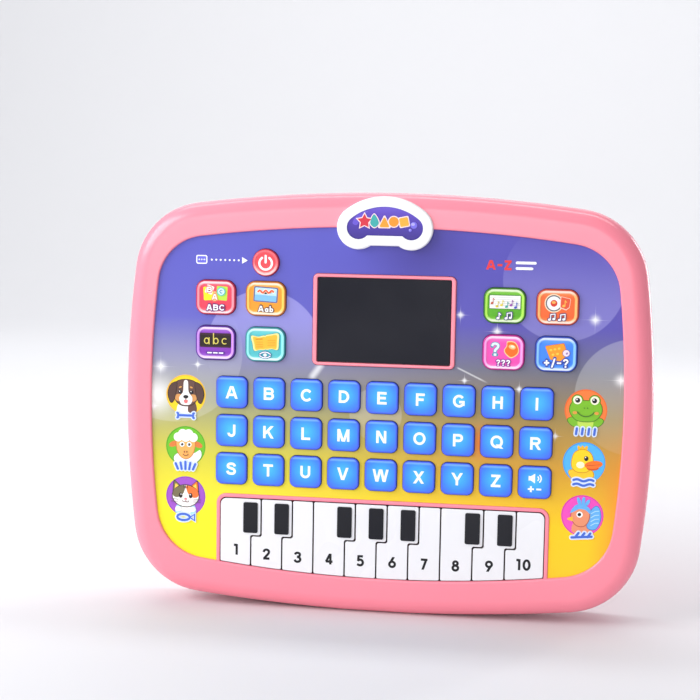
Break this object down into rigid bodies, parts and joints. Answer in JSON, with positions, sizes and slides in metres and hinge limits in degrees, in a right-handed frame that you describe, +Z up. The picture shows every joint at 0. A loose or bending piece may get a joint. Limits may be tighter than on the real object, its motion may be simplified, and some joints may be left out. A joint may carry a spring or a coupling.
{
  "type": "toy tablet",
  "caption": "Upright toy learning tablet with letter keys, mode buttons, a small display, a row of piano keys and a hinged battery cover at the back.",
  "frame": {"origin": "centre of the bounding box's bottom, where the tablet stands on its bottom edge", "axes": "+X to the right seen from the front, +Y from the face to the back, +Z up"},
  "size_m": [0.2418, 0.03, 0.1928],
  "materials": {
    "pink_shell": "glossy pink moulded ABS",
    "pink_rim": "glossy pink moulded ABS",
    "printed_panel": "printed sheet, violet at the top to yellow at the bottom, glossy",
    "dark_lens": "smoked acrylic lens, glossy",
    "display_glass": "display module, dark",
    "badge_white": "glossy white ABS",
    "badge_violet": "violet printed inlay, glossy",
    "letter_blue": "glossy blue keys, lighter in the middle",
    "piano_white": "white ABS keys",
    "piano_black": "black caps on the piano keys",
    "print_white": "white print",
    "print_dark": "black print",
    "print_colour": "colour print of the pictures",
    "power_red": "glossy red cap",
    "mode_letter": "glossy red cap",
    "mode_word": "glossy orange cap",
    "mode_spell": "glossy dark violet cap",
    "mode_read": "glossy teal cap",
    "mode_song": "glossy green cap",
    "mode_music": "glossy orange-red cap",
    "mode_question": "glossy magenta cap",
    "mode_sums": "glossy blue cap",
    "silicone": "grey silicone",
    "circuit_board": "green board",
    "speaker_steel": "plated steel basket and magnet",
    "screw_steel": "plated steel screws",
    "cell_sleeve": "shrink sleeve of the cells"
  },
  "bodies": {
    "case": {"front_shell": "pink_shell", "rear_shell": "pink_shell", "graphic_panel": "printed_panel", "screen_rim": "pink_rim", "screen_lens": "dark_lens", "display_module": "display_glass", "badge": "badge_white", "dome_mat": "silicone", "main_board": "circuit_board", "speaker": "speaker_steel", "battery_1": "cell_sleeve", "battery_2": "cell_sleeve", "battery_3": "cell_sleeve"},
    "battery_cover": {"battery_cover": "pink_shell"},
    "piano_key_1": {"piano_key_1": "piano_white"},
    "piano_key_2": {"piano_key_2": "piano_white"},
    "piano_key_3": {"piano_key_3": "piano_white"},
    "piano_key_4": {"piano_key_4": "piano_white"},
    "piano_key_5": {"piano_key_5": "piano_white"},
    "piano_key_6": {"piano_key_6": "piano_white"},
    "piano_key_7": {"piano_key_7": "piano_white"},
    "piano_key_8": {"piano_key_8": "piano_white"},
    "piano_key_9": {"piano_key_9": "piano_white"},
    "piano_key_10": {"piano_key_10": "piano_white"},
    "power_button": {"power_button": "power_red"},
    "mode_letter": {"mode_letter": "mode_letter"},
    "mode_word": {"mode_word": "mode_word"},
    "mode_spell": {"mode_spell": "mode_spell"},
    "mode_read": {"mode_read": "mode_read"},
    "mode_song": {"mode_song": "mode_song"},
    "mode_music": {"mode_music": "mode_music"},
    "mode_question": {"mode_question": "mode_question"},
    "mode_sums": {"mode_sums": "mode_sums"},
    "key_a": {"key_a": "letter_blue"},
    "key_b": {"key_b": "letter_blue"},
    "key_c": {"key_c": "letter_blue"},
    "key_d": {"key_d": "letter_blue"},
    "key_e": {"key_e": "letter_blue"},
    "key_f": {"key_f": "letter_blue"},
    "key_g": {"key_g": "letter_blue"},
    "key_h": {"key_h": "letter_blue"},
    "key_i": {"key_i": "letter_blue"},
    "key_j": {"key_j": "letter_blue"},
    "key_k": {"key_k": "letter_blue"},
    "key_l": {"key_l": "letter_blue"},
    "key_m": {"key_m": "letter_blue"},
    "key_n": {"key_n": "letter_blue"},
    "key_o": {"key_o": "letter_blue"},
    "key_p": {"key_p": "letter_blue"},
    "key_q": {"key_q": "letter_blue"},
    "key_r": {"key_r": "letter_blue"},
    "key_s": {"key_s": "letter_blue"},
    "key_t": {"key_t": "letter_blue"},
    "key_u": {"key_u": "letter_blue"},
    "key_v": {"key_v": "letter_blue"},
    "key_w": {"key_w": "letter_blue"},
    "key_x": {"key_x": "letter_blue"},
    "key_y": {"key_y": "letter_blue"},
    "key_z": {"key_z": "letter_blue"},
    "key_volume": {"key_volume": "letter_blue"}
  },
  "joints": [
    {"name": "battery_cover_hinge", "type": "hinge", "parent": "case", "child": "battery_cover", "pos_m": [0, 0.015, 0.0358], "axis": [-1, 0, 0], "range_deg": [0, 110]},
    {"name": "piano_key_1_press", "type": "hinge", "parent": "case", "child": "piano_key_1", "pos_m": [0, -0.0116, 0.0504], "axis": [1, 0, 0], "range_deg": [0, 3.5], "stiffness_Nm_per_rad": 0.3, "springref_deg": -2.86},
    {"name": "piano_key_2_press", "type": "hinge", "parent": "case", "child": "piano_key_2", "pos_m": [0, -0.0116, 0.0504], "axis": [1, 0, 0], "range_deg": [0, 3.5], "stiffness_Nm_per_rad": 0.3, "springref_deg": -2.86},
    {"name": "piano_key_3_press", "type": "hinge", "parent": "case", "child": "piano_key_3", "pos_m": [0, -0.0116, 0.0504], "axis": [1, 0, 0], "range_deg": [0, 3.5], "stiffness_Nm_per_rad": 0.3, "springref_deg": -2.86},
    {"name": "piano_key_4_press", "type": "hinge", "parent": "case", "child": "piano_key_4", "pos_m": [0, -0.0116, 0.0504], "axis": [1, 0, 0], "range_deg": [0, 3.5], "stiffness_Nm_per_rad": 0.3, "springref_deg": -2.86},
    {"name": "piano_key_5_press", "type": "hinge", "parent": "case", "child": "piano_key_5", "pos_m": [0, -0.0116, 0.0504], "axis": [1, 0, 0], "range_deg": [0, 3.5], "stiffness_Nm_per_rad": 0.3, "springref_deg": -2.86},
    {"name": "piano_key_6_press", "type": "hinge", "parent": "case", "child": "piano_key_6", "pos_m": [0, -0.0116, 0.0504], "axis": [1, 0, 0], "range_deg": [0, 3.5], "stiffness_Nm_per_rad": 0.3, "springref_deg": -2.86},
    {"name": "piano_key_7_press", "type": "hinge", "parent": "case", "child": "piano_key_7", "pos_m": [0, -0.0116, 0.0504], "axis": [1, 0, 0], "range_deg": [0, 3.5], "stiffness_Nm_per_rad": 0.3, "springref_deg": -2.86},
    {"name": "piano_key_8_press", "type": "hinge", "parent": "case", "child": "piano_key_8", "pos_m": [0, -0.0116, 0.0504], "axis": [1, 0, 0], "range_deg": [0, 3.5], "stiffness_Nm_per_rad": 0.3, "springref_deg": -2.86},
    {"name": "piano_key_9_press", "type": "hinge", "parent": "case", "child": "piano_key_9", "pos_m": [0, -0.0116, 0.0504], "axis": [1, 0, 0], "range_deg": [0, 3.5], "stiffness_Nm_per_rad": 0.3, "springref_deg": -2.86},
    {"name": "piano_key_10_press", "type": "hinge", "parent": "case", "child": "piano_key_10", "pos_m": [0, -0.0116, 0.0504], "axis": [1, 0, 0], "range_deg": [0, 3.5], "stiffness_Nm_per_rad": 0.3, "springref_deg": -2.86},
    {"name": "power_button_press", "type": "slide", "parent": "case", "child": "power_button", "axis": [0, 1, 0], "range_m": [0, 0.001], "stiffness_N_per_m": 300, "springref_m": -0.001},
    {"name": "mode_letter_press", "type": "slide", "parent": "case", "child": "mode_letter", "axis": [0, 1, 0], "range_m": [0, 0.001], "stiffness_N_per_m": 300, "springref_m": -0.001},
    {"name": "mode_word_press", "type": "slide", "parent": "case", "child": "mode_word", "axis": [0, 1, 0], "range_m": [0, 0.001], "stiffness_N_per_m": 300, "springref_m": -0.001},
    {"name": "mode_spell_press", "type": "slide", "parent": "case", "child": "mode_spell", "axis": [0, 1, 0], "range_m": [0, 0.001], "stiffness_N_per_m": 300, "springref_m": -0.001},
    {"name": "mode_read_press", "type": "slide", "parent": "case", "child": "mode_read", "axis": [0, 1, 0], "range_m": [0, 0.001], "stiffness_N_per_m": 300, "springref_m": -0.001},
    {"name": "mode_song_press", "type": "slide", "parent": "case", "child": "mode_song", "axis": [0, 1, 0], "range_m": [0, 0.001], "stiffness_N_per_m": 300, "springref_m": -0.001},
    {"name": "mode_music_press", "type": "slide", "parent": "case", "child": "mode_music", "axis": [0, 1, 0], "range_m": [0, 0.001], "stiffness_N_per_m": 300, "springref_m": -0.001},
    {"name": "mode_question_press", "type": "slide", "parent": "case", "child": "mode_question", "axis": [0, 1, 0], "range_m": [0, 0.001], "stiffness_N_per_m": 300, "springref_m": -0.001},
    {"name": "mode_sums_press", "type": "slide", "parent": "case", "child": "mode_sums", "axis": [0, 1, 0], "range_m": [0, 0.001], "stiffness_N_per_m": 300, "springref_m": -0.001},
    {"name": "key_a_press", "type": "slide", "parent": "case", "child": "key_a", "axis": [0, 1, 0], "range_m": [0, 0.001], "stiffness_N_per_m": 300, "springref_m": -0.001},
    {"name": "key_b_press", "type": "slide", "parent": "case", "child": "key_b", "axis": [0, 1, 0], "range_m": [0, 0.001], "stiffness_N_per_m": 300, "springref_m": -0.001},
    {"name": "key_c_press", "type": "slide", "parent": "case", "child": "key_c", "axis": [0, 1, 0], "range_m": [0, 0.001], "stiffness_N_per_m": 300, "springref_m": -0.001},
    {"name": "key_d_press", "type": "slide", "parent": "case", "child": "key_d", "axis": [0, 1, 0], "range_m": [0, 0.001], "stiffness_N_per_m": 300, "springref_m": -0.001},
    {"name": "key_e_press", "type": "slide", "parent": "case", "child": "key_e", "axis": [0, 1, 0], "range_m": [0, 0.001], "stiffness_N_per_m": 300, "springref_m": -0.001},
    {"name": "key_f_press", "type": "slide", "parent": "case", "child": "key_f", "axis": [0, 1, 0], "range_m": [0, 0.001], "stiffness_N_per_m": 300, "springref_m": -0.001},
    {"name": "key_g_press", "type": "slide", "parent": "case", "child": "key_g", "axis": [0, 1, 0], "range_m": [0, 0.001], "stiffness_N_per_m": 300, "springref_m": -0.001},
    {"name": "key_h_press", "type": "slide", "parent": "case", "child": "key_h", "axis": [0, 1, 0], "range_m": [0, 0.001], "stiffness_N_per_m": 300, "springref_m": -0.001},
    {"name": "key_i_press", "type": "slide", "parent": "case", "child": "key_i", "axis": [0, 1, 0], "range_m": [0, 0.001], "stiffness_N_per_m": 300, "springref_m": -0.001},
    {"name": "key_j_press", "type": "slide", "parent": "case", "child": "key_j", "axis": [0, 1, 0], "range_m": [0, 0.001], "stiffness_N_per_m": 300, "springref_m": -0.001},
    {"name": "key_k_press", "type": "slide", "parent": "case", "child": "key_k", "axis": [0, 1, 0], "range_m": [0, 0.001], "stiffness_N_per_m": 300, "springref_m": -0.001},
    {"name": "key_l_press", "type": "slide", "parent": "case", "child": "key_l", "axis": [0, 1, 0], "range_m": [0, 0.001], "stiffness_N_per_m": 300, "springref_m": -0.001},
    {"name": "key_m_press", "type": "slide", "parent": "case", "child": "key_m", "axis": [0, 1, 0], "range_m": [0, 0.001], "stiffness_N_per_m": 300, "springref_m": -0.001},
    {"name": "key_n_press", "type": "slide", "parent": "case", "child": "key_n", "axis": [0, 1, 0], "range_m": [0, 0.001], "stiffness_N_per_m": 300, "springref_m": -0.001},
    {"name": "key_o_press", "type": "slide", "parent": "case", "child": "key_o", "axis": [0, 1, 0], "range_m": [0, 0.001], "stiffness_N_per_m": 300, "springref_m": -0.001},
    {"name": "key_p_press", "type": "slide", "parent": "case", "child": "key_p", "axis": [0, 1, 0], "range_m": [0, 0.001], "stiffness_N_per_m": 300, "springref_m": -0.001},
    {"name": "key_q_press", "type": "slide", "parent": "case", "child": "key_q", "axis": [0, 1, 0], "range_m": [0, 0.001], "stiffness_N_per_m": 300, "springref_m": -0.001},
    {"name": "key_r_press", "type": "slide", "parent": "case", "child": "key_r", "axis": [0, 1, 0], "range_m": [0, 0.001], "stiffness_N_per_m": 300, "springref_m": -0.001},
    {"name": "key_s_press", "type": "slide", "parent": "case", "child": "key_s", "axis": [0, 1, 0], "range_m": [0, 0.001], "stiffness_N_per_m": 300, "springref_m": -0.001},
    {"name": "key_t_press", "type": "slide", "parent": "case", "child": "key_t", "axis": [0, 1, 0], "range_m": [0, 0.001], "stiffness_N_per_m": 300, "springref_m": -0.001},
    {"name": "key_u_press", "type": "slide", "parent": "case", "child": "key_u", "axis": [0, 1, 0], "range_m": [0, 0.001], "stiffness_N_per_m": 300, "springref_m": -0.001},
    {"name": "key_v_press", "type": "slide", "parent": "case", "child": "key_v", "axis": [0, 1, 0], "range_m": [0, 0.001], "stiffness_N_per_m": 300, "springref_m": -0.001},
    {"name": "key_w_press", "type": "slide", "parent": "case", "child": "key_w", "axis": [0, 1, 0], "range_m": [0, 0.001], "stiffness_N_per_m": 300, "springref_m": -0.001},
    {"name": "key_x_press", "type": "slide", "parent": "case", "child": "key_x", "axis": [0, 1, 0], "range_m": [0, 0.001], "stiffness_N_per_m": 300, "springref_m": -0.001},
    {"name": "key_y_press", "type": "slide", "parent": "case", "child": "key_y", "axis": [0, 1, 0], "range_m": [0, 0.001], "stiffness_N_per_m": 300, "springref_m": -0.001},
    {"name": "key_z_press", "type": "slide", "parent": "case", "child": "key_z", "axis": [0, 1, 0], "range_m": [0, 0.001], "stiffness_N_per_m": 300, "springref_m": -0.001},
    {"name": "key_volume_press", "type": "slide", "parent": "case", "child": "key_volume", "axis": [0, 1, 0], "range_m": [0, 0.001], "stiffness_N_per_m": 300, "springref_m": -0.001}
  ]
}
